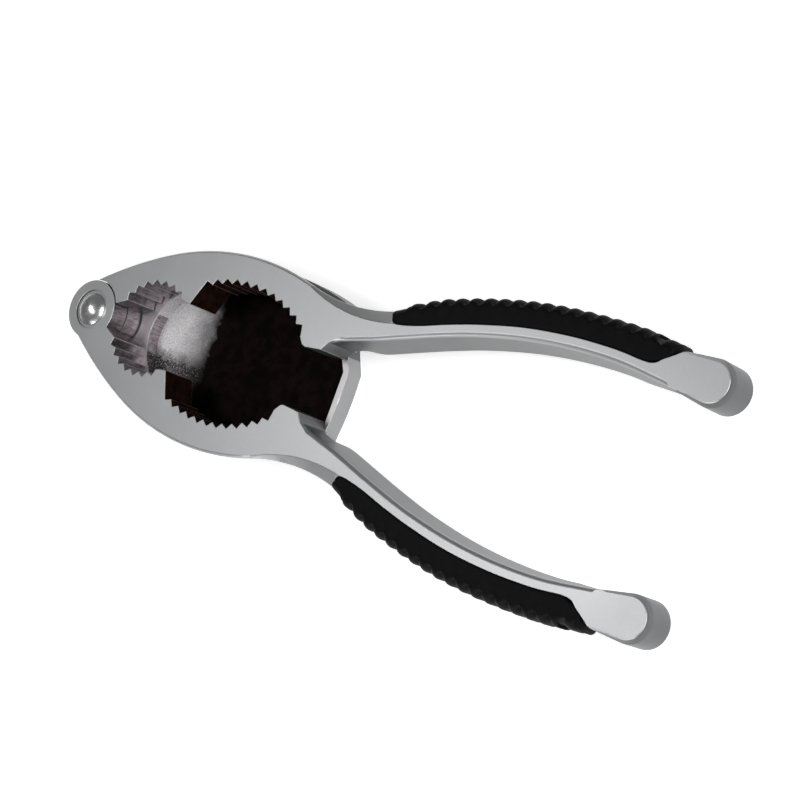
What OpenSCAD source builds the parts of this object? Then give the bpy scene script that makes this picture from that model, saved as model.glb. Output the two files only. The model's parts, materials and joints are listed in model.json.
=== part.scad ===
// Plier-type nutcracker: two cast levers on one rivet, a catch tray cast into the lower lever,
// a moulded grip on each handle. X runs from the pivot to the handle ends, Z is the pivot axis
// and z = 0 is the flat underside of the tray. The upper lever lies on the +Y side. The origin
// is midway between the two ends; the outlines below are measured from the pivot axis.

/* [Overall] */
// Distance from the pivot axis to the end of the handles
reach = 187.6; // [160:0.1:230]
// Thickness of the lever heads
lever_t = 11; // [8:0.5:14]
// Height of the catch tray below the levers
tray_h = 5.5; // [4:0.5:9]
// Greatest half width of the head, from the centre plane to the outer edge
head_half_w = 25.3; // [24:0.1:32]

/* [Pivot] */
// Radius of the round ears that lap over each other
boss_r = 7.75; // [6.5:0.05:9]
// Gap round an ear
lap_gap = 0.3; // [0.3:0.05:0.8]
// Radius of the rivet shank
shank_r = 2.6; // [2:0.1:3.2]
// Radius of the domed rivet head
head_r = 4.3; // [3.8:0.1:5]
// Height of the domed rivet head above the levers
dome_h = 1.7; // [1:0.1:2.4]
// Thickness of the washer between the ears
washer_t = 0.5; // [0.4:0.05:0.8]

/* [Nut openings] */
// Distance from the pivot to the middle of the small opening
small_x = 21.5; // [20:0.1:23]
// Radius of the small opening at the tooth tips
small_r = 11.9; // [10.5:0.1:12.6]
// Teeth along one side of the small opening
small_teeth = 7; // [5:1:9]
// Distance from the pivot to the middle of the large opening
large_x = 48.3; // [46:0.1:51]
// Half width of the large opening at the tooth tips
large_half_w = 17.4; // [15:0.1:18.4]
// Curve radius of each side of the large opening
large_r = 33.6; // [30:0.1:40]
// Teeth along one side of the large opening
large_teeth = 12; // [8:1:14]
// Depth of the teeth
tooth_h = 1.35; // [0.8:0.05:1.8]
// Half angle between the closing faces of the jaws
jaw_angle = 6; // [5:0.1:8]

/* [Tray] */
// Outer radius of the end wall of the tray, about the pivot
tray_r = 78.5; // [76:0.1:82]
// Thickness of the tray floor
tray_floor = 1.4; // [1:0.1:2]
// Thickness of the end wall of the tray
tray_wall = 1.8; // [1.4:0.1:3]

/* [Handles] */
// Thickness of the handles
handle_t = 9.8; // [7.5:0.1:12]
// Bow of the handles, added to the half spread at mid length
handle_bow = 0; // [-2:0.1:2]
// Radius of the handle ends
tip_r = 5.65; // [5:0.05:7]
// Width of the bare metal band along the inner edge
band_w = 2.9; // [2:0.1:3.6]
// Lobes along each grip
lobes = 19; // [13:1:22]
// Radius of one grip lobe
lobe_r = 2.3; // [2.1:0.05:2.8]

/* [Hidden] */
$fn = 64;

e = 0.01;
slide = 0.25;                        // upper lever above the tray rim
z_rim = tray_h;
z_top = tray_h + lever_t;
z_mid = tray_h + lever_t / 2;
h_bot = z_top - handle_t;
fit_gap = 0.05;                      // clearance of the running fits
neck = 78;                           // where the heads end and the handles begin
kx = (reach - neck) / 109.6;         // stretch of everything beyond the neck
dw = head_half_w - 25.3;             // widening of the head
draft = 0.26;                        // slope of the outer walls, inwards going down
large_y = large_half_w - large_r;    // centre of the large side curve
tip_c = [reach - tip_r, 27.3];       // centre of the round handle end
paddle_c = [neck + 96.5 * kx, 27.8];   // where the paddle begins
paddle_r = 4.6;
mid_x = (reach - boss_r) / 2;        // pivot axis to the middle of the whole tool
top_bevel = 0.6;                     // narrow bevel along the top of the heads
neck_drop = 2.6;                     // height of the cone that slopes the neck off
neck_slope = 1.4;                    // how far that cone runs out for each mm of its height
recess = 0.5;                        // depth of the ring round the rivet head
tail_t = 1;                          // thickness of the tail washer
tail_h = 1.2;                        // height of the peened tail below it
tail_r = shank_r + 2.6;              // radius of the tail washer
core_gap = 2.6;                      // grip above and below the flat core
lobe_bevel = 1.1;                    // height of the bevel at both ends of a lobe

function crom(a, b, c, d, t) =
    ((2 * b) + (c - a) * t + (2 * a - 5 * b + 4 * c - d) * t * t
     + (3 * b - a - 3 * c + d) * t * t * t) / 2;

// smooth curve through the points P, n steps per span
function smooth(P, n) =
    [for (i = [0:len(P) - 2]) for (j = [0:n - 1])
        crom(P[max(i - 1, 0)], P[i], P[i + 1], P[min(i + 2, len(P) - 1)], j / n),
     P[len(P) - 1]];

// position beyond the neck, with the half spread y
function hp(x, y) = [neck + (x - neck) * kx,
                     y + handle_bow * sin(180 * min(1, max(0, (x - neck) / 109.6)))];
function rev(P) = [for (i = [len(P) - 1:-1:0]) P[i]];

// the outer wall of a head is three round walls that run into each other
wall_r = 72;
wall_c = [47.5, head_half_w - wall_r];
near_r = 117;
near_dir = [cos(113.3), sin(113.3)];
near_c = wall_c + (wall_r - near_r) * near_dir;
neck_r = 45;
neck_dir = [cos(74.4), sin(74.4)];
neck_c = wall_c + (wall_r + neck_r) * neck_dir;
crease_c = neck_c + [6.2, -1.6];     // the slope of the neck widens towards the handle
crease_r = neck_r + 1.1;
near_x = (wall_c + wall_r * near_dir)[0];
neck_x = (wall_c + wall_r * neck_dir)[0];

// inner edge of the handle, from the jaw to the end
inner_edge = smooth([hp(78, 10.3), hp(84, 12.2), hp(91, 14.1), hp(99, 16.6), hp(108, 19.3),
                     hp(118, 21.9), hp(131, 24.3), hp(144, 25.5), hp(157, 25.5),
                     hp(168, 24.2), hp(174.5, 23.3)], 5);

// edge between the bare band and the grip, on top of the handle
band_edge = smooth([hp(92.6, 21.6), hp(93.2, 20.3), hp(95.4, 16.4 + band_w),
                    hp(102, 17.6 + band_w), hp(110, 19.9 + band_w), hp(119, 22.1 + band_w),
                    hp(131, 24.3 + band_w), hp(144, 25.4 + band_w), hp(156, 25.4 + band_w),
                    hp(165.5, 24.7 + band_w), hp(169, 26.5 + band_w), hp(173, 32)], 5);

// outer line of the grip, through the lobe peaks
peak_line = smooth([hp(98.5, 26), hp(105, 28.7), hp(113, 30.9), hp(121, 32.7), hp(130, 34.2),
                    hp(140, 35.1), hp(150, 35.4), hp(160, 35.2), hp(168, 34.2)], 8);

// teeth along an arc: n valleys on radius r + tooth_h, each followed by a tip on radius r
function teeth(c, r, a0, pitch, n) =
    [for (i = [0:2 * n - 1])
        c + (i % 2 == 0 ? r + tooth_h : r) * [cos(a0 - pitch * i / 2), sin(a0 - pitch * i / 2)]];

small_c = [small_x, -0.5];
large_c = [large_x, large_y];
waist = [small_x + 10, 8.9];
small_pitch = 95.9 / small_teeth;
large_pitch = 63.6 / large_teeth;
small_lead = small_c + small_r * [cos(151.8), sin(151.8)];
small_side = teeth(small_c, small_r, 151.8 - small_pitch / 2, small_pitch, small_teeth);
large_side = teeth(large_c, large_r, 115.8 - large_pitch / 2, large_pitch, large_teeth);
jaw_in = 71.2;
jaw_out = 76.8;
jaw_end = [jaw_in * [cos(jaw_angle + 1.6), sin(jaw_angle + 1.6)] + [-1.6, 0.1],
           jaw_in * [cos(jaw_angle + 0.3), sin(jaw_angle + 0.3)] + [-0.4, 0],
           (jaw_in + 0.6) * [cos(jaw_angle), sin(jaw_angle)],
           jaw_out * [cos(jaw_angle), sin(jaw_angle)]];

// lever outline; the outer side of the head is left wide, for the round walls to cut
module plan(outer) {
    polygon(concat([[0, 0], [-6.2, 6.2], [-6.2, 40], [hp(92.6, 40)[0], 40]], outer, rev(inner_edge),
                   rev(jaw_end), rev(large_side), [waist], rev(small_side), [small_lead],
                   [[8.2, 3.7]]));
}

// a round puck whose upper edge slopes in by 0.6 of the drop
module puck(c, r, drop) {
    translate([c[0], c[1], h_bot]) {
        cylinder(h = handle_t - drop, r = r, $fn = 40);
        translate([0, 0, handle_t - drop])
            cylinder(h = drop, r1 = r, r2 = r - 0.6 * drop, $fn = 40);
    }
}

// flat core inside the grip, from the inner edge to below the lobes
core_line = [for (p = peak_line) p - [0, 3.9]];
module core_plan() {
    polygon(concat([hp(94.5, 18.5), hp(98.5, 21.8)], core_line, [hp(171, 30), hp(171, 28)],
                   rev([for (i = [6:48]) inner_edge[i] + [0, 1]])));
}

// slab between two planes across the tool, over the full height
module slab(x0, x1) {
    translate([x0, -5, 0])
        cube([x1 - x0, 60, z_top]);
}

// round wall that leans outwards going up, with a narrow bevel at the top
module flare(c, r) {
    h = z_top - top_bevel;
    translate([c[0], c[1], 0])
        cylinder(h = h, r1 = r - draft * h, r2 = r, $fn = 180);
    translate([c[0], c[1], h])
        cylinder(h = top_bevel, r1 = r, r2 = r - top_bevel, $fn = 180);
}

// everything inside the outer wall of a head and neck
module inside_wall() {
    h = z_top - top_bevel;
    intersection() {
        slab(-20, near_x);
        flare(near_c, near_r);
    }
    intersection() {
        slab(near_x, neck_x);
        flare(wall_c, wall_r);
    }
    difference() {
        slab(neck_x, reach + 10);
        translate([neck_c[0], neck_c[1], 0])
            cylinder(h = z_top, r1 = neck_r + draft * h, r2 = neck_r - draft * top_bevel, $fn = 180);
        translate([crease_c[0], crease_c[1], z_top - neck_drop])
            cylinder(h = neck_drop, r1 = crease_r - neck_slope * neck_drop, r2 = crease_r, $fn = 180);
    }
}

// lever as cast, before the lap joint is cut: z0 is its underside
module lever(z0) {
    difference() {
        intersection() {
            translate([0, 0, z0])
                linear_extrude(z_top - z0)
                    plan(concat(band_edge, [paddle_c + [0, paddle_r - 0.1]]));
            inside_wall();
        }
        // the handle is thinner than the head
        translate([79, -5, z0 - 1])
            cube([reach, 60, h_bot - z0 + 1]);
    }
    translate([0, 0, h_bot + core_gap])
        linear_extrude(handle_t - 2 * core_gap)
            core_plan();
    // paddle-shaped end with a sloping edge
    hull() {
        puck(paddle_c, paddle_r, 0.6);
        puck(tip_c, tip_r, 1.4);
    }
}

// pivot frame: moves the pivot axis from x = 0 to its place left of the origin
module at_pivot() {
    translate([-mid_x, 0, 0])
        children();
}

module upper_lever() {
    color("silver")
    at_pivot() difference() {
        union() {
            lever(z_rim + slide);
            translate([0, 0, z_rim + slide])
                cylinder(h = z_mid - washer_t / 2 - z_rim - slide, r = boss_r);
        }
        translate([0, 0, z_mid - washer_t / 2])
            cylinder(h = lever_t, r = boss_r + lap_gap);
        cylinder(h = z_top + e, r = shank_r + fit_gap);
    }
}

// outline of the tray: an end wall about the pivot and a cut-off corner under the upper lever
module tray_plan() {
    side_r = 85;
    difference() {
        intersection() {
            polygon([[5, 6.5], [9.5, 9], [9.5, 40], [74.6, 40], [74.6, 13.2], [tray_r - 0.2, 5.8],
                     [tray_r + 4, 5.8], [tray_r + 4, -40], [9.5, -40], [9.5, -9], [5, -6.5]]);
            circle(r = tray_r, $fn = 180);
            translate([48, 24.8 + dw - side_r])
                circle(r = side_r, $fn = 180);
        }
        circle(r = tail_r + 1);
    }
}

// hollow of the tray: a round end under the small opening and a straight end wall
module bowl_plan() {
    end_x = tray_r - tray_wall;
    translate([small_x + 5.2, 0])
        circle(r = 14.6);
    polygon([[small_x + 5.2, 14.6], [40, 21 + dw], [50, 21.8 + dw], [60, 20.8 + dw],
             [70.8, 18 + dw], [72.4, 12.5], [end_x, 5], [end_x, -12.5],
             [70, -15.5 - dw], [60, -18.2 - dw], [50, -19.3 - dw], [40, -18.6 - dw],
             [small_x + 5.2, -14.6]]);
}

module tray() {
    difference() {
        intersection() {
            linear_extrude(z_rim)
                tray_plan();
            mirror([0, 1, 0])
                flare(wall_c, wall_r);
        }
        translate([0, 0, tray_floor])
            linear_extrude(z_rim)
                bowl_plan();
    }
}

module lower_lever() {
    color("silver")
    at_pivot() difference() {
        union() {
            mirror([0, 1, 0])
                lever(z_rim - e);
            translate([0, 0, z_mid + washer_t / 2])
                cylinder(h = z_top - z_mid - washer_t / 2, r = boss_r);
            tray();
        }
        // room for the other ear, and a little below it in the tray
        translate([0, 0, z_rim - slide])
            cylinder(h = z_mid + washer_t / 2 - z_rim + slide, r = boss_r + lap_gap);
        cylinder(h = z_top + e, r = shank_r);
        // shallow recess round the rivet head
        translate([0, 0, z_top - recess])
            cylinder(h = 2 * recess, r = head_r + 0.8);
    }
}

// region of the grip on top of the handle, out to the line through the lobe peaks
module grip_plan(inset) {
    polygon(concat(rev([for (p = peak_line) p - [0, inset]]),
                   [hp(96.4, 24.5), hp(92.6, 22.8)],
                   [for (i = [1:len(band_edge) - 2]) band_edge[i] + [0, 0.05]],
                   [hp(172.6, 32.6)]));
}

module grip() {
    difference() {
        union() {
            translate([0, 0, h_bot + 0.2])
                linear_extrude(handle_t - 0.5)
                    grip_plan(1.4);
            // lobes, evenly spaced along the peak line
            for (i = [0:lobes - 1]) {
                k = i / (lobes - 1) * (len(peak_line) - 1);
                f = floor(min(k, len(peak_line) - 2));
                p = peak_line[f] + (peak_line[f + 1] - peak_line[f]) * (k - f) - [0, lobe_r];
                translate([p[0], p[1], h_bot + 0.5])
                    cylinder(h = lobe_bevel, r1 = lobe_r - 1, r2 = lobe_r, $fn = 32);
                translate([p[0], p[1], h_bot + 0.5 + lobe_bevel - e])
                    cylinder(h = handle_t - 1.1 - 2 * lobe_bevel + 2 * e, r = lobe_r, $fn = 32);
                translate([p[0], p[1], z_top - 0.6 - lobe_bevel])
                    cylinder(h = lobe_bevel, r1 = lobe_r, r2 = lobe_r - 1, $fn = 32);
            }
        }
        translate([0, 0, h_bot + core_gap - fit_gap])
            linear_extrude(handle_t - 2 * (core_gap - fit_gap))
                core_plan();
        translate([paddle_c[0], paddle_c[1], h_bot - 1])
            cylinder(h = handle_t + 2, r = paddle_r + fit_gap);
    }
}

module upper_grip() {
    color([0.08, 0.08, 0.09]) at_pivot() grip();
}

module lower_grip() {
    color([0.08, 0.08, 0.09]) at_pivot() mirror([0, 1, 0]) grip();
}

// domed head, shank through both ears, peened tail under the tail washer
module pivot_rivet() {
    dome_r = (head_r * head_r + dome_h * dome_h) / (2 * dome_h);
    z_seat = z_top - recess;
    z_tail = z_rim + slide - tail_t - tail_h;
    color("white") at_pivot() {
        translate([0, 0, z_tail])
            cylinder(h = z_seat - z_tail, r = shank_r);
        intersection() {
            translate([0, 0, z_top + dome_h - dome_r])
                sphere(r = dome_r);
            translate([0, 0, z_seat])
                cylinder(h = dome_h + 2 * recess, r = head_r);
        }
        translate([0, 0, z_tail])
            cylinder(h = tail_h - fit_gap, r1 = shank_r + 0.6, r2 = shank_r + 1.2);
    }
}

module washer(z, t, r) {
    at_pivot() translate([0, 0, z])
        difference() {
            cylinder(h = t, r = r);
            translate([0, 0, -e])
                cylinder(h = t + 2 * e, r = shank_r + 0.1);
        }
}

module ear_washer() {
    color("tan") washer(z_mid - washer_t / 2 + fit_gap, washer_t - 2 * fit_gap, boss_r - 1);
}

module tail_washer() {
    color("lightgrey") washer(z_rim + slide - tail_t, tail_t - fit_gap, tail_r);
}

upper_lever();
lower_lever();
upper_grip();
lower_grip();
pivot_rivet();
ear_washer();
tail_washer();
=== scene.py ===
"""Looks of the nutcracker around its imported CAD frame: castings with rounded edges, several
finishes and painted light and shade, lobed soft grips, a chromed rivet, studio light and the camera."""
import json
import math

import bmesh
import bpy
from mathutils import Matrix, Vector


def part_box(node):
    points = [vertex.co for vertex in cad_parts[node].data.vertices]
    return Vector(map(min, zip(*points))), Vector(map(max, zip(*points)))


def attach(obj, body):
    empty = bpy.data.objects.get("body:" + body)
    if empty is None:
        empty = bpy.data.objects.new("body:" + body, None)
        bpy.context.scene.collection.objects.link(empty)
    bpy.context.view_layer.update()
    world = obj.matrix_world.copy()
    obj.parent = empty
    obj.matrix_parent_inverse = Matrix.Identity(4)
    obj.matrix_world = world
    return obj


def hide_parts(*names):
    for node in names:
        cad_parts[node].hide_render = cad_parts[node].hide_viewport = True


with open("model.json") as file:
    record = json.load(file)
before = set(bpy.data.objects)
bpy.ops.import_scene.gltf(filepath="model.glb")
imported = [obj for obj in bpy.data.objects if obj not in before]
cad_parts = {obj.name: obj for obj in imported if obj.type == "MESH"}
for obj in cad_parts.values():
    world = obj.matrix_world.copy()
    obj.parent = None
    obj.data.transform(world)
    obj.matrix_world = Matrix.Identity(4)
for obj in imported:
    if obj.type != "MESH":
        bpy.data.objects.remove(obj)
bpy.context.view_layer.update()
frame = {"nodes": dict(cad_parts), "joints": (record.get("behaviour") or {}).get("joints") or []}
nodes = frame["nodes"]

MM = 0.001
PIVOT = Vector(frame["joints"][0]["pos_m"])      # a point on the pivot axis
TOP_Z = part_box("upper_lever")[1].z               # upper face of both levers
HANDLE_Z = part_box("upper_grip")[0].z - 0.2 * MM  # underside of the handles
RIM_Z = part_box("upper_lever")[0].z - 0.25 * MM   # rim of the tray

# sizes in millimetres, measured from the pivot axis along the tool
NECK = 78.0                # the heads end here
EAR = 3.0                  # walls nearer than this belong to the round ears
SMALL_OPENING = 21.5       # middle of the small opening
SMALL_REACH = 19.0         # its walls lie within this of its middle
WAIST = 31.6               # the two openings meet here
LARGE_OPENING = 48.3       # middle of the large opening
LARGE_HALF = 20.0          # its walls lie within this of the centre plane
LARGE_END = 71.5           # its walls end here
HOLLOW_START = 13.0        # the hollow of the tray begins about here
TRAY_UNDERSIDE = 1.0       # faces lower than this are under the tray
PADDLE = 172.0             # the plain ends of the handles begin here
TRAY_WALL = 76.7           # inner face of the end wall of the tray
TRAY_MIDDLE = 44.5         # the tray lies evenly about this
WALL_LEAN = 1.2            # lean of the inner wall of a handle over its height
LEAN_RUN = 8.0             # length over which that lean begins and ends
LEDGE = 14.0               # the bare ledge of the tray next to the pivot ends here
FIRST_LOBE, LAST_LOBE = 98.5, 168.0
LOBES = 19
LOBE_R = 2.0               # curve radius of a lobe
ROWS_PER_LOBE = 14
LOBE_RISE = 1.4            # peaks above the flat top outline of the CAD grip
RIM_ROUND = 1.1            # rounding of the inner top edge of a handle
EDGE_ROUND = 0.16          # rounding of every other sharp edge
START_CORNER = 2.4         # length of the slanted edge where a grip starts
END_CORNER = 4.2           # length of the slanted edge where it ends


def tool(co):
    """Position in millimetres from the pivot axis."""
    return (co.x - PIVOT.x) / MM, (co.y - PIVOT.y) / MM, co.z / MM


def link(name, mesh):
    o = bpy.data.objects.new(name, mesh)
    bpy.context.scene.collection.objects.link(o)
    return o


# ---------------------------------------------------------------- materials

class Graph:
    """Short calls for building a node material."""

    def __init__(self, name):
        self.mat = bpy.data.materials.new(name)
        self.mat.use_nodes = True
        self.tree = self.mat.node_tree
        self.shader = self.tree.nodes["Principled BSDF"]
        self.coords = self.tree.nodes.new("ShaderNodeTexCoord").outputs["Object"]

    def put(self, socket, value):
        if isinstance(value, bpy.types.NodeSocket):
            self.tree.links.new(value, socket)
        elif hasattr(socket.default_value, "__len__") and not hasattr(value, "__len__"):
            socket.default_value = (value,) * len(socket.default_value)
        else:
            socket.default_value = value

    def node(self, kind, **inputs):
        n = self.tree.nodes.new(kind)
        for key, value in inputs.items():
            self.put(n.inputs[key.replace("_", " ")], value)
        return n.outputs[0]

    def math(self, op, a, b=0.0):
        n = self.tree.nodes.new("ShaderNodeMath")
        n.operation = op
        self.put(n.inputs[0], a)
        self.put(n.inputs[1], b)
        return n.outputs[0]

    def noise(self, size_mm, detail=2.0, stretch=(1, 1, 1), rough=0.5):
        m = self.tree.nodes.new("ShaderNodeMapping")
        self.put(m.inputs["Vector"], self.coords)
        m.inputs["Scale"].default_value = stretch
        return self.node("ShaderNodeTexNoise", Vector=m.outputs[0], Scale=1 / (size_mm * MM),
                         Detail=detail, Roughness=rough)

    def ramp(self, value, low, high, to_low=0.0, to_high=1.0):
        return self.node("ShaderNodeMapRange", Value=value, From_Min=low, From_Max=high,
                         To_Min=to_low, To_Max=to_high)

    def mix(self, factor, a, b):
        n = self.tree.nodes.new("ShaderNodeMix")
        n.data_type = "RGBA"
        sockets = [s for s in n.inputs if s.enabled]
        self.put(sockets[0], factor)
        self.put(sockets[1], a)
        self.put(sockets[2], b)
        return next(s for s in n.outputs if s.enabled)

    def bump(self, height, strength, size_mm):
        n = self.tree.nodes.new("ShaderNodeBump")
        self.put(n.inputs["Strength"], strength)
        self.put(n.inputs["Distance"], size_mm * MM)
        self.put(n.inputs["Height"], height)
        self.put(self.shader.inputs["Normal"], n.outputs[0])

    def axis(self, k):
        """Distance along X, Y or Z from the pivot axis, in millimetres."""
        parts = self.tree.nodes.new("ShaderNodeSeparateXYZ")
        self.put(parts.inputs[0], self.coords)
        shifted = self.math("SUBTRACT", parts.outputs[k], (PIVOT.x, PIVOT.y, 0.0)[k])
        return self.math("MULTIPLY", shifted, 1 / MM)

    def facing_up(self):
        g = self.tree.nodes.new("ShaderNodeNewGeometry")
        t = self.tree.nodes.new("ShaderNodeVectorTransform")
        t.vector_type, t.convert_from, t.convert_to = "NORMAL", "WORLD", "OBJECT"
        self.put(t.inputs[0], g.outputs["Normal"])
        parts = self.tree.nodes.new("ShaderNodeSeparateXYZ")
        self.put(parts.inputs[0], t.outputs[0])
        return parts.outputs[2]

    def set(self, **values):
        for key, value in values.items():
            self.put(self.shader.inputs[key.replace("_", " ")], value)
        return self.mat


def grey(v, warm=0.0):
    return (v * (1 + warm), v, v * (1 - warm), 1)


def satin_casting_painted_shade():
    """Bead-blasted die casting: fine grain, faint clouds, a ground tray rim, and painted shade that
    makes the upright walls darker than the tops.
    """
    g = Graph("satin_casting_painted_shade")
    clouds = g.noise(14, 3)
    grain = g.noise(0.24, 2, rough=0.7)
    cloud = g.ramp(clouds, 0.35, 0.65)
    # painted shade: the sloping edge of the plain ends is painted as dark as a wall
    painted_slope_shade = g.ramp(g.axis(0), PADDLE - 2, PADDLE + 6, 0.0, 0.4)
    # painted shade: faces that stand upright get the darker wall colour, faces that look up get the
    # lighter top colour
    up = g.ramp(g.math("SUBTRACT", g.facing_up(), painted_slope_shade), 0.10, 0.50)
    # painted light: the outer end wall of the tray is lifted partway from the wall shade towards the
    # top colour
    painted_end_wall_light = g.math("MULTIPLY", g.math("GREATER_THAN", g.axis(0), TRAY_WALL),
                      g.math("LESS_THAN", g.axis(2), RIM_Z / MM))
    shade = g.math("MAXIMUM", up, g.math("MULTIPLY", painted_end_wall_light, 0.55))
    top = g.mix(cloud, grey(0.50, -0.015), grey(0.53, -0.012))
    # painted shade: the colour of the upright walls
    side = g.mix(cloud, grey(0.135, -0.02), grey(0.165, -0.02))
    color = g.mix(g.ramp(grain, 0.30, 0.50, 0.16, 0.0), g.mix(shade, side, top), grey(0.20))
    rim = g.math("LESS_THAN", g.axis(2), RIM_Z / MM + 0.1)
    from_middle = g.math("ABSOLUTE", g.math("SUBTRACT", g.axis(0), TRAY_MIDDLE))
    rim = g.math("MULTIPLY", rim, g.math("GREATER_THAN", from_middle, TRAY_MIDDLE - LEDGE))
    rim = g.math("MULTIPLY", rim, g.math("GREATER_THAN", up, 0.5))
    color = g.mix(rim, color, (0.60, 0.575, 0.59, 1))
    g.bump(grain, 0.22, 0.05)
    return g.set(Base_Color=color, Metallic=0.9, Roughness=g.ramp(clouds, 0.3, 0.7, 0.40, 0.44))


def worn_edge_and_highlight():
    """Rounded edges of the casting, brighter than the tops: partly wear, partly a painted highlight
    along the edges.
    """
    g = Graph("worn_edge_and_highlight")
    rub_and_sheen = g.noise(1.6, 3)
    # partly wear, partly painted highlight: the rounded edges are lighter than the tops
    color = g.mix(g.ramp(rub_and_sheen, 0.35, 0.7), grey(0.50), grey(0.66))
    g.bump(g.noise(0.24, 2), 0.12, 0.05)
    return g.set(Base_Color=color, Metallic=0.9, Roughness=g.ramp(rub_and_sheen, 0.3, 0.7, 0.40, 0.32))


def ground_teeth():
    """Walls of the small opening: bare, with upright tool marks."""
    g = Graph("ground_teeth")
    marks = g.noise(0.35, 3, stretch=(1, 1, 0.12), rough=0.65)
    blotches = g.noise(3.0, 2)
    color = g.mix(g.ramp(marks, 0.35, 0.65), (0.19, 0.165, 0.18, 1), (0.47, 0.42, 0.44, 1))
    color = g.mix(g.ramp(blotches, 0.5, 0.75), color, (0.15, 0.12, 0.13, 1))
    g.bump(marks, 0.35, 0.08)
    return g.set(Base_Color=color, Metallic=0.9, Roughness=g.ramp(marks, 0.3, 0.7, 0.24, 0.40))


def shaded_teeth():
    """Walls of the large opening: bare metal under painted shade, near-black browns with a faint
    painted reddish reflection.
    """
    g = Graph("shaded_teeth")
    blotches = g.noise(2.2, 3)
    marks = g.noise(0.35, 2, stretch=(1, 1, 0.15))
    # painted shade and painted reflection: near-black reddish browns in blotches
    color = g.mix(g.ramp(blotches, 0.4, 0.65), (0.035, 0.014, 0.009, 1), (0.012, 0.006, 0.005, 1))
    g.bump(marks, 0.25, 0.08)
    return g.set(Base_Color=color, Metallic=0.5, Roughness=g.ramp(marks, 0.3, 0.7, 0.25, 0.4))


def tray_inside():
    """As-cast floor of the tray with fine pits: a painted highlight near the small opening, painted
    shade with speckles on one side, and a near-black painted shadow further on.
    """
    g = Graph("tray_inside")
    pits = g.noise(0.45, 3, rough=0.7)
    waves = g.noise(2.6, 2)
    sway = g.math("MULTIPLY", waves, 5.0)
    # painted shadow: the floor turns near black from about 22 mm to 33 mm from the pivot axis, with a
    # wavy border
    far = g.ramp(g.math("ADD", g.axis(0), sway), 22.0, 33.0)
    # painted shade: the darker speckled colour on one side of the centre plane
    low = g.ramp(g.math("ADD", g.axis(1), sway), 0.0, -3.5)
    # painted highlight where a glint falls; the specks come from the pits
    painted_glint = g.mix(g.ramp(pits, 0.42, 0.62), (0.70, 0.68, 0.70, 1), (0.97, 0.96, 0.97, 1))
    speckled = g.mix(g.ramp(pits, 0.52, 0.66), (0.05, 0.04, 0.045, 1), (0.62, 0.60, 0.62, 1))
    painted_shadow = g.mix(g.ramp(waves, 0.4, 0.6), (0.003, 0.0015, 0.0015, 1), (0.007, 0.004, 0.0035, 1))
    color = g.mix(far, g.mix(low, painted_glint, speckled), painted_shadow)
    g.bump(pits, 0.55, 0.25)
    return g.set(Base_Color=color, Metallic=g.ramp(far, 0, 1, 0.3, 0.75),
                 Roughness=g.ramp(pits, 0.3, 0.7, 0.26, 0.42),
                 Specular_IOR_Level=g.ramp(far, 0, 1, 0.5, 0.05))


def soft_grip():
    """Black moulded elastomer with a fine grain."""
    g = Graph("soft_grip")
    grain = g.noise(0.28, 2, rough=0.75)
    dust = g.noise(5, 3)
    color = g.mix(g.ramp(grain, 0.4, 0.7), (0.002, 0.0018, 0.0023, 1), (0.0055, 0.005, 0.006, 1))
    color = g.mix(g.ramp(dust, 0.55, 0.8, 0.0, 0.35), color, (0.013, 0.012, 0.014, 1))
    g.bump(grain, 0.45, 0.10)
    return g.set(Base_Color=color, Specular_IOR_Level=0.09,
                 Roughness=g.ramp(dust, 0.3, 0.7, 0.50, 0.60))


def chrome():
    g = Graph("chrome")
    haze = g.noise(1.2, 2)
    color = g.mix(g.ramp(haze, 0.3, 0.7), grey(0.72), grey(0.84))
    return g.set(Base_Color=color, Metallic=1.0, Roughness=g.ramp(haze, 0.35, 0.7, 0.22, 0.30))


def turned_steel():
    g = Graph("turned_steel")
    x, y = g.axis(0), g.axis(1)
    radius = g.math("SQRT", g.math("ADD", g.math("MULTIPLY", x, x), g.math("MULTIPLY", y, y)))
    rings = g.math("SINE", g.math("MULTIPLY", radius, 26.0))
    color = g.mix(g.ramp(rings, -1, 1), grey(0.44), grey(0.58))
    g.bump(rings, 0.2, 0.03)
    return g.set(Base_Color=color, Metallic=1.0, Roughness=g.ramp(rings, -1, 1, 0.28, 0.38))


def pale_nylon():
    g = Graph("pale_nylon")
    cloud = g.noise(1.0, 3)
    color = g.mix(g.ramp(cloud, 0.3, 0.7), (0.62, 0.60, 0.54, 1), (0.70, 0.68, 0.62, 1))
    g.bump(cloud, 0.2, 0.05)
    return g.set(Base_Color=color, Roughness=g.ramp(cloud, 0.3, 0.7, 0.42, 0.55))


def studio_floor():
    g = Graph("studio_floor")
    fleck = g.noise(1.5, 3)
    color = g.mix(g.ramp(fleck, 0.3, 0.7), grey(0.93), grey(0.95))
    return g.set(Base_Color=color, Roughness=0.95, Specular_IOR_Level=0.1,
                 Emission_Color=(1, 1, 1, 1), Emission_Strength=0.55)


# ---------------------------------------------------------------- castings

SATIN, EDGE, GROUND, DARK, TRAY = range(5)


def clean_copy(node):
    """A copy of a CAD node as a closed mesh, with its flat faces whole."""
    bm = bmesh.new()
    bm.from_mesh(nodes[node].data)
    bmesh.ops.remove_doubles(bm, verts=bm.verts, dist=2e-6)
    bmesh.ops.dissolve_limit(bm, angle_limit=math.radians(0.4), verts=bm.verts, edges=bm.edges)
    bm.normal_update()
    return bm


def convex_angle(e):
    if len(e.link_faces) != 2:
        return 0.0
    return e.calc_face_angle_signed(0.0)


def round_edges(bm, chosen, width_mm, segments, material=-1):
    edges = [e for e in bm.edges if chosen(e)]
    if edges:
        bmesh.ops.bevel(bm, geom=edges, offset=width_mm * MM, segments=segments, profile=0.5,
                        affect="EDGES", clamp_overlap=False, material=material, loop_slide=True)
        bm.normal_update()


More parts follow.
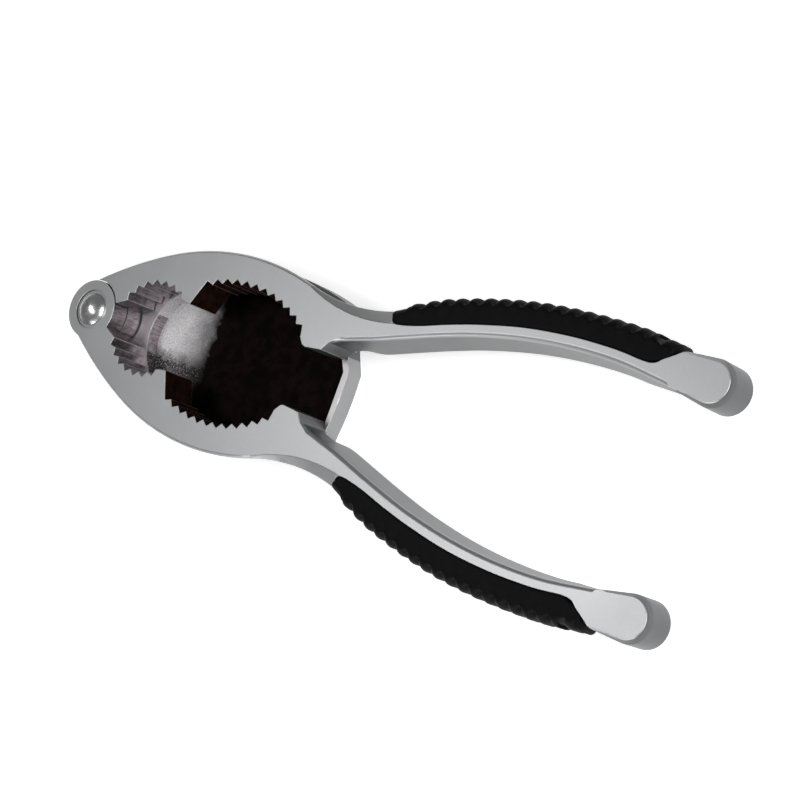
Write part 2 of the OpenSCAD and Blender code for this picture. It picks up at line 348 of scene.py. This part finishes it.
def finish_of(face):
    """Which finish a face of a casting has."""
    x, y, z = tool(face.calc_center_median())
    upright = abs(face.normal.z) < 0.5
    from_small = math.hypot(x - SMALL_OPENING, y)
    in_tray = TRAY_UNDERSIDE < z < RIM_Z / MM - 0.05 and HOLLOW_START < x < TRAY_WALL + 0.2
    if in_tray and (face.normal.z > 0.5 or toward_middle(face)):
        return TRAY
    if upright and toward_middle(face) and EAR < x < WAIST and from_small < SMALL_REACH:
        return GROUND
    if upright and toward_middle(face) and WAIST - 0.6 < x < LARGE_END and abs(y) < LARGE_HALF:
        return DARK
    return SATIN


def toward_middle(face):
    """Whether a face looks towards the middle of the opening it belongs to."""
    x, y, _ = tool(face.calc_center_median())
    middle = SMALL_OPENING if x < WAIST else LARGE_OPENING
    inward = Vector((middle - x, -y, 0))
    return face.normal.dot(inward) > 0


def lean_inner_wall(bm):
    """The inner wall of a handle leans towards the centre plane, going down."""
    for v in bm.verts:
        x, y, z = tool(v.co)
        inner = any(abs(f.normal.z) < 0.3 and f.normal.y * y < -0.5 * abs(y) for f in v.link_faces)
        if inner and abs(v.co.z - HANDLE_Z) < 0.05 * MM:
            begin = smoothstep((x - NECK - 3) / LEAN_RUN)
            share = begin * (1 - smoothstep((x - PADDLE + LEAN_RUN) / LEAN_RUN))
            v.co.y -= math.copysign(WALL_LEAN * MM * share, y)
    bm.normal_update()


def casting(node, name, finishes):
    """A lever rebuilt from its CAD node, with its handle rim and sharp edges rounded."""
    bm = clean_copy(node)

    def handle_rim(e):
        a, b = (v.co for v in e.verts)
        mid = (a + b) / 2
        x, y, z = tool(mid)
        flat = abs(a.z - TOP_Z) < 1e-5 and abs(b.z - TOP_Z) < 1e-5
        if not flat or not NECK + 1 < x < PADDLE or convex_angle(e) < math.radians(60):
            return False
        wall = min(e.link_faces, key=lambda f: abs(f.normal.z))
        return wall.normal.y * y < 0

    def sharp(e):
        return convex_angle(e) > math.radians(32)

    lean_inner_wall(bm)
    for f in bm.faces:
        f.material_index = finish_of(f)
    round_edges(bm, handle_rim, RIM_ROUND, 5)
    round_edges(bm, sharp, EDGE_ROUND, 2, EDGE)
    mesh = bpy.data.meshes.new(name)
    bm.to_mesh(mesh)
    bm.free()
    for m in finishes:
        mesh.materials.append(m)
    mesh.shade_smooth()
    mesh.set_sharp_from_angle(angle=math.radians(30))
    o = link(name, mesh)
    o.modifiers.new("even_shading", "WEIGHTED_NORMAL").keep_sharp = True
    return o


# ---------------------------------------------------------------- grips

def top_outline(node):
    """The closed line round the flat top of a CAD node, as points in order."""
    bm = clean_copy(node)
    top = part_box(node)[1].z
    flat = [f for f in bm.faces if all(abs(v.co.z - top) < 2e-6 for v in f.verts)]
    face = max(flat, key=lambda f: f.calc_area())
    points = [v.co.copy() for v in face.verts]
    bm.free()
    return points


def chains(points):
    """The inner and the outer side of the outline, both from the pivot towards the end."""
    n = len(points)
    first = min(range(n), key=lambda i: points[i].x - 0.6 * abs(points[i].y))
    last = max(range(n), key=lambda i: points[i].x + 0.2 * abs(points[i].y))
    one, two = [points[first]], [points[first]]
    i = first
    while i != last:
        i = (i + 1) % n
        one.append(points[i])
    i = first
    while i != last:
        i = (i - 1) % n
        two.append(points[i])
    return sorted((one, two), key=lambda chain: sum(abs(p.y) for p in chain) / len(chain))


def along(chain, count):
    """count points at even steps along a chain."""
    lengths = [0.0]
    for a, b in zip(chain, chain[1:]):
        lengths.append(lengths[-1] + (b - a).length)
    out, k = [], 0
    for i in range(count):
        s = lengths[-1] * i / (count - 1)
        while k < len(chain) - 2 and lengths[k + 1] < s:
            k += 1
        t = (s - lengths[k]) / max(1e-9, lengths[k + 1] - lengths[k])
        out.append(chain[k].lerp(chain[k + 1], min(1, max(0, t))))
    return out


def nearest(chain, p):
    """The point of a chain nearest to p."""
    best = None
    for a, b in zip(chain, chain[1:]):
        d = b - a
        t = min(1, max(0, (p - a).dot(d) / max(1e-12, d.length_squared)))
        q = a + d * t
        if best is None or (q - p).length < (best - p).length:
            best = q
    return best


def smoothstep(t):
    t = min(1, max(0, t))
    return t * t * (3 - 2 * t)


def profile(width, height):
    """Section of the grip as (across, up, lobe share), from the inner foot over the top."""
    r = min(2.5 * MM, 0.62 * width)       # rounding of the outer edge
    c = min(0.35 * MM, 0.2 * width)       # rounding of the inner edge
    drop = min(3.2 * MM, 0.45 * height)
    upper = [(0.0, height / 2, 0), (0.0, height - c, 0), (0.3 * c, height - 0.3 * c, 0), (c, height, 0)]
    flat = width - r
    for i in range(1, 6):
        upper.append((c + (flat - c) * i / 6, height, 0.12 if i == 5 else 0))
    for i in range(10):
        a = math.pi / 2 * i / 9
        share = smoothstep((i + 0.6) / 4.5)
        upper.append((flat + r * math.sin(a), height - drop * (1 - math.cos(a)), share))
    lower = [(a, height - h, s) for a, h, s in reversed(upper[1:])]
    return upper + [(width, height / 2, 1)] + lower


def grip(node, name):
    """A soft grip swept along the top outline of its CAD node, one section after another."""
    side = 1 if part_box(node)[0].y > 0 else -1
    inner, outer = chains(top_outline(node))
    low, high = outer[0].x + START_CORNER * MM, outer[-1].x - END_CORNER * MM
    inner = [p for p in inner if low < p.x < high]
    rest_z = HANDLE_Z + 0.2 * MM
    height = TOP_Z - 0.25 * MM - rest_z
    rows = []
    pitch = (LAST_LOBE - FIRST_LOBE) / (LOBES - 1)
    steps = int((len_of(outer) / MM) / pitch * ROWS_PER_LOBE)
    start, end = FIRST_LOBE - pitch / 2, LAST_LOBE + pitch / 2
    for p in along(outer, steps):
        x = (p.x - PIVOT.x) / MM
        if x > end + 0.9:
            break
        q = nearest(inner, p)
        across = Vector((p.x - q.x, p.y - q.y, 0))
        raised = smoothstep((x - start + 0.5) / 1.0) * (1 - smoothstep((x - end - 0.1) / 1.5))
        out = Vector((0, side * LOBE_RISE * MM * raised, 0))
        width = max(across.length, 0.25 * MM)
        direction = across.normalized() if across.length > 1e-7 else Vector((0, side, 0))
        width += out.dot(direction)
        phase = (x - start) / pitch
        off = (phase - math.floor(phase) - 0.5) * pitch
        dip = LOBE_R - math.sqrt(LOBE_R ** 2 - off ** 2) if start < x < end else 0.0
        row = []
        for a, h, share in profile(width, height):
            cut = dip * MM * share * min(1, width / (4 * MM))
            centre_a, centre_h = width * 0.45, height / 2
            pull = Vector((a - centre_a, (h - centre_h) * 0.55))
            pull = pull.normalized() * cut if pull.length > 1e-9 else pull
            spot = q + direction * (a - pull.x)
            row.append(Vector((spot.x, spot.y, rest_z + h - pull.y)))
        rows.append(row)
    # rounded ends: the end sections shrink towards their middles
    rows = cap(rows, -1) + rows + cap(rows, 1)
    return tube(name, rows)


def len_of(chain):
    return sum((b - a).length for a, b in zip(chain, chain[1:]))


def cap(rows, sign):
    """Three sections that close an end with a small rounding."""
    row, before = (rows[0], rows[1]) if sign < 0 else (rows[-1], rows[-2])
    centre = sum(row, Vector()) / len(row)
    forward = centre - sum(before, Vector()) / len(before)
    forward = Vector((forward.x, forward.y, 0)).normalized()
    made = []
    for a in (25, 50, 75):
        t = math.radians(a)
        grow = forward * (0.8 if sign < 0 else 1.0) * MM * math.sin(t)
        keep = 1 - 0.35 * (1 - math.cos(t))
        made.append([Vector((centre.x + (p.x - centre.x) * keep, centre.y + (p.y - centre.y) * keep,
                             centre.z + (p.z - centre.z) * (1 - 0.12 * (1 - math.cos(t))))) + grow
                     for p in row])
    return made[::-1] if sign < 0 else made


def tube(name, rows):
    """A closed mesh through rows of points."""
    bm = bmesh.new()
    grid = [[bm.verts.new(p) for p in row] for row in rows]
    n = len(rows[0])
    for a, b in zip(grid, grid[1:]):
        for i in range(n):
            bm.faces.new((a[i], a[(i + 1) % n], b[(i + 1) % n], b[i]))
    bm.faces.new(grid[0])
    bm.faces.new(grid[-1])
    bmesh.ops.recalc_face_normals(bm, faces=bm.faces)
    bmesh.ops.triangulate(bm, faces=[f for f in bm.faces if len(f.verts) > 4])
    mesh = bpy.data.meshes.new(name)
    bm.to_mesh(mesh)
    bm.free()
    mesh.shade_smooth()
    mesh.set_sharp_from_angle(angle=math.radians(50))
    return link(name, mesh)


# ---------------------------------------------------------------- build

finishes = [satin_casting_painted_shade(), worn_edge_and_highlight(), ground_teeth(), shaded_teeth(), tray_inside()]
rubber = soft_grip()
for which, body in (("upper", "upper"), ("lower", "lower")):
    piece = casting(which + "_lever", which + "_casting", finishes)
    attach(piece, body)
    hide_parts(which + "_lever")
    piece = grip(which + "_grip", which + "_soft_grip")
    piece.data.materials.append(rubber)
    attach(piece, body)
    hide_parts(which + "_grip")

for node, material in (("pivot_rivet", chrome()), ("ear_washer", pale_nylon()),
                       ("tail_washer", turned_steel())):
    o = nodes[node]
    o.data.materials.clear()
    o.data.materials.append(material)
    edge = o.modifiers.new("edge", "BEVEL")
    edge.width = 0.12 * MM
    edge.segments = 2
    edge.limit_method = "ANGLE"


# ---------------------------------------------------------------- camera, floor and light

ELEVATION, AZIMUTH, ROLL = 53.4, 3.45, 67.58   # of the camera, in degrees
DISTANCE = 600.0                               # camera to the point it looks at, in millimetres
AIM = (104.2, 2.4)                             # that point, in millimetres from the pivot axis
FOCAL = 3.17625                                # focal length in frame widths


def make_camera():
    e, az, roll = (math.radians(a) for a in (ELEVATION, AZIMUTH, ROLL))
    target = Vector((PIVOT.x + AIM[0] * MM, PIVOT.y + AIM[1] * MM, TOP_Z))
    back = Vector((math.cos(az) * math.cos(e), -math.sin(az) * math.cos(e), math.sin(e)))
    right = Vector((math.sin(az), math.cos(az), 0))
    up = back.cross(right)
    x = right * math.cos(roll) - up * math.sin(roll)
    y = right * math.sin(roll) + up * math.cos(roll)
    m = Matrix((x, y, back)).transposed().to_4x4()
    m.translation = target + back * DISTANCE * MM
    cam = bpy.data.cameras.new("camera")
    cam.sensor_width = 36
    cam.lens = FOCAL * cam.sensor_width
    cam.clip_start = 0.01
    o = link("camera", cam)
    o.matrix_world = m
    bpy.context.scene.camera = o


def area_light(name, place, size, power, turn=0.0):
    d = bpy.data.lights.new(name, "AREA")
    d.shape = "RECTANGLE"
    d.size, d.size_y = size
    d.energy = power
    o = link(name, d)
    o.location = place
    aim = (-Vector(place)).to_track_quat("-Z", "Y")
    o.rotation_euler = (aim.to_matrix() @ Matrix.Rotation(math.radians(turn), 3, "Z")).to_euler()


def make_stage():
    half = 1.5       # half the width of the floor
    mesh = bpy.data.meshes.new("floor")
    corners = [(-half, -half, 0), (half, -half, 0), (half, half, 0), (-half, half, 0)]
    mesh.from_pydata(corners, [], [(0, 1, 2, 3)])
    floor = link("floor", mesh)
    mesh.materials.append(studio_floor())
    area_light("gleam", (-0.20, -0.03, 0.46), (0.26, 0.08), 0.46, turn=45)
    area_light("side", (0.05, -0.55, 0.25), (0.5, 0.25), 1.5)
    area_light("fill", (0.55, 0.05, 0.55), (0.6, 0.6), 3.4)
    world = bpy.data.worlds.new("world")
    world.use_nodes = True
    sky = world.node_tree.nodes["Background"]
    sky.inputs["Color"].default_value = (1, 1, 1, 1)
    sky.inputs["Strength"].default_value = 0.14
    bpy.context.scene.world = world
    bpy.context.scene.view_settings.view_transform = "Standard"


make_camera()
make_stage()
